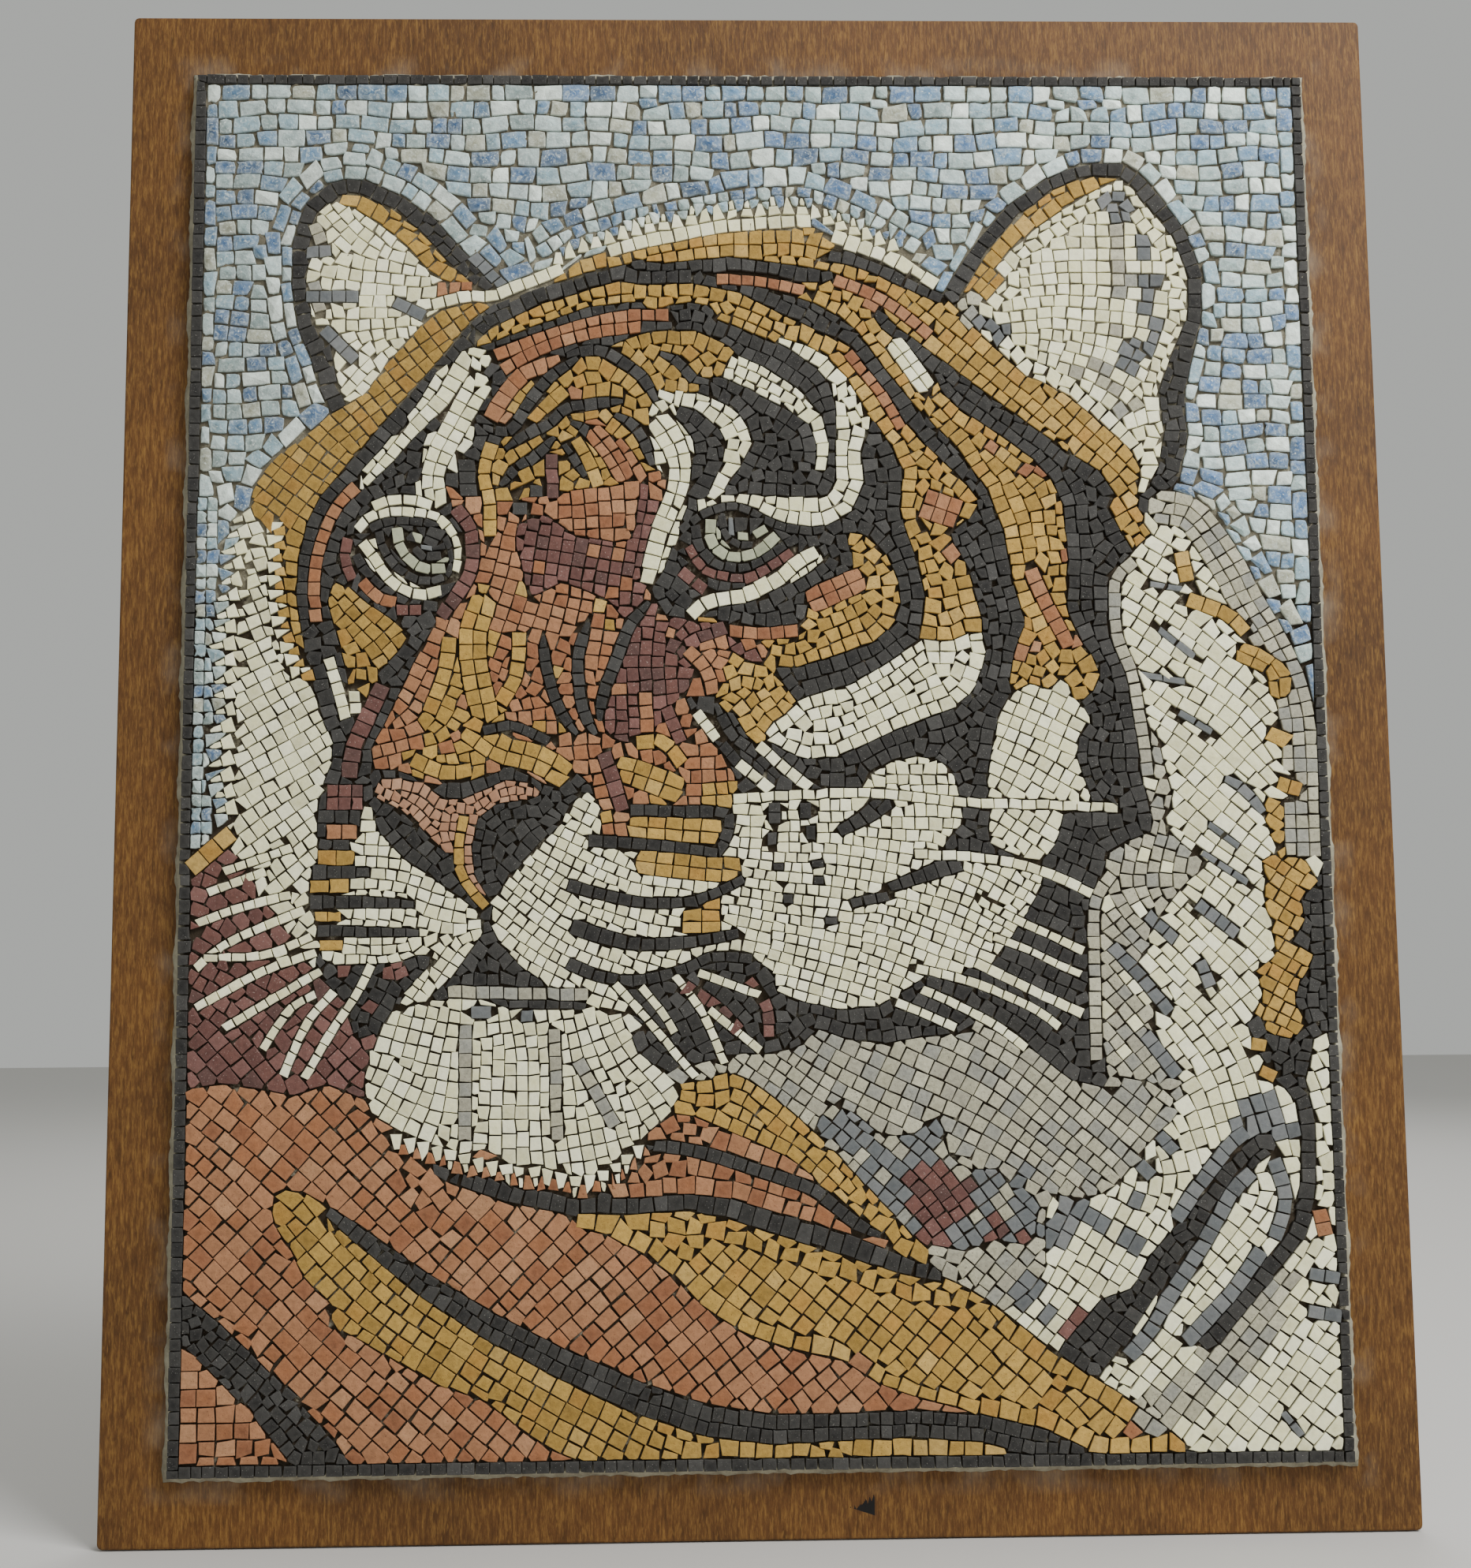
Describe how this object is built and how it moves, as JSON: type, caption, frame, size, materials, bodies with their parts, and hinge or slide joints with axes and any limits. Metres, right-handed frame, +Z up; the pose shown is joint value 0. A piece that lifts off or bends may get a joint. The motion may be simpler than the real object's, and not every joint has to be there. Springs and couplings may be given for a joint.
{
  "type": "mosaic panel",
  "caption": "Stone mosaic wall panel of a tiger's head against a pale blue sky, hand-cut tesserae glued to a brown stained wooden board with a bare margin",
  "frame": {"origin": "centre of the flat back face of the board, where it meets the wall", "axes": "+X right seen from the front, +Z up, picture towards -Y, back at y = 0"},
  "size_m": [0.5, 0.0183, 0.6],
  "materials": {
    "wood": "brown stained plywood with a dull varnish",
    "adhesive": "grey-beige tile adhesive, matt",
    "black": "split black basalt, matt",
    "blue_white": "riven white and blue marble, matt",
    "cream": "split cream limestone, matt",
    "warm_grey": "split grey travertine, matt",
    "slate": "split grey slate, matt",
    "pale_grey_green": "split pale green-grey marble, matt",
    "ochre": "split ochre marble, matt",
    "terracotta": "split salmon-red stone, matt",
    "wine": "split wine-red marble, matt",
    "pink": "split pink marble, matt"
  },
  "bodies": {
    "root": {"backing_board": "wood", "adhesive_bed": "adhesive", "border_left": "black", "border_right": "black", "border_top": "black", "border_bottom": "black", "sky": "blue_white", "mane": "cream", "mane_shade": "warm_grey", "throat": "warm_grey", "throat_shade": "slate", "mane_stripe_upper": "black", "mane_stripe_lower": "black", "mane_gold": "ochre", "shoulder": "wine", "body": "terracotta", "neck_band": "terracotta", "neck_gold": "ochre", "body_gold": "ochre", "flank_gold": "ochre", "corner_patch": "terracotta", "neck_stripe": "black", "long_stripe": "black", "corner_stripe": "black", "left_ear": "cream", "left_ear_rim": "ochre", "left_ear_outline": "black", "right_ear": "cream", "right_ear_rim": "ochre", "right_ear_outline": "black", "left_side": "ochre", "crown": "ochre", "ruff": "cream", "mask": "black", "jaw": "black", "eye_surround": "black", "mouth_corner": "black", "temple_band": "ochre", "brow_band": "ochre", "forehead": "ochre", "left_brow": "cream", "inner_brow": "cream", "outer_brow": "cream", "right_brow": "cream", "brow_curl": "cream", "left_cheek": "ochre", "bridge": "terracotta", "right_cheek": "ochre", "bridge_shade": "wine", "cheek_white": "cream", "jowl_white": "cream", "right_pad": "cream", "left_pad": "cream", "nose": "pink", "chin": "cream", "left_eye_white": "cream", "left_iris": "pale_grey_green", "right_eye_white": "cream", "right_iris": "pale_grey_green"}
  },
  "joints": []
}
